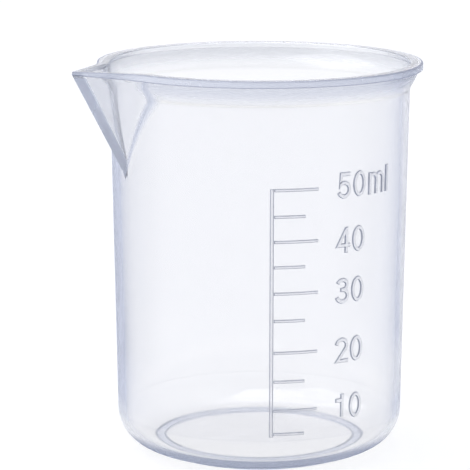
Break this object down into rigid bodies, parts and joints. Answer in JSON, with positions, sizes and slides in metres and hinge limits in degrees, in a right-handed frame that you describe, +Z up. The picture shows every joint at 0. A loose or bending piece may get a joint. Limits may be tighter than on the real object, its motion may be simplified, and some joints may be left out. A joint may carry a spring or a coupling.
{
  "type": "measuring cup",
  "caption": "Small translucent graduated measuring cup with a V-shaped pouring spout, a flanged lip, a rounded base on a foot ring and a raised scale.",
  "frame": {"origin": "on the table, under the middle of the whole outline, spout included", "axes": "+Z up, spout along -X, scale facing -Y"},
  "size_m": [0.053, 0.0472, 0.057],
  "materials": {
    "polypropylene": "translucent natural polypropylene, smooth moulded gloss",
    "scale_relief": "the same polypropylene, raised by the mould"
  },
  "bodies": {
    "root": {"cup_body": "polypropylene", "scale_line": "scale_relief", "tick_05": "scale_relief", "tick_10": "scale_relief", "tick_15": "scale_relief", "tick_20": "scale_relief", "tick_25": "scale_relief", "tick_30": "scale_relief", "tick_35": "scale_relief", "tick_40": "scale_relief", "tick_45": "scale_relief", "tick_50": "scale_relief"}
  },
  "joints": []
}
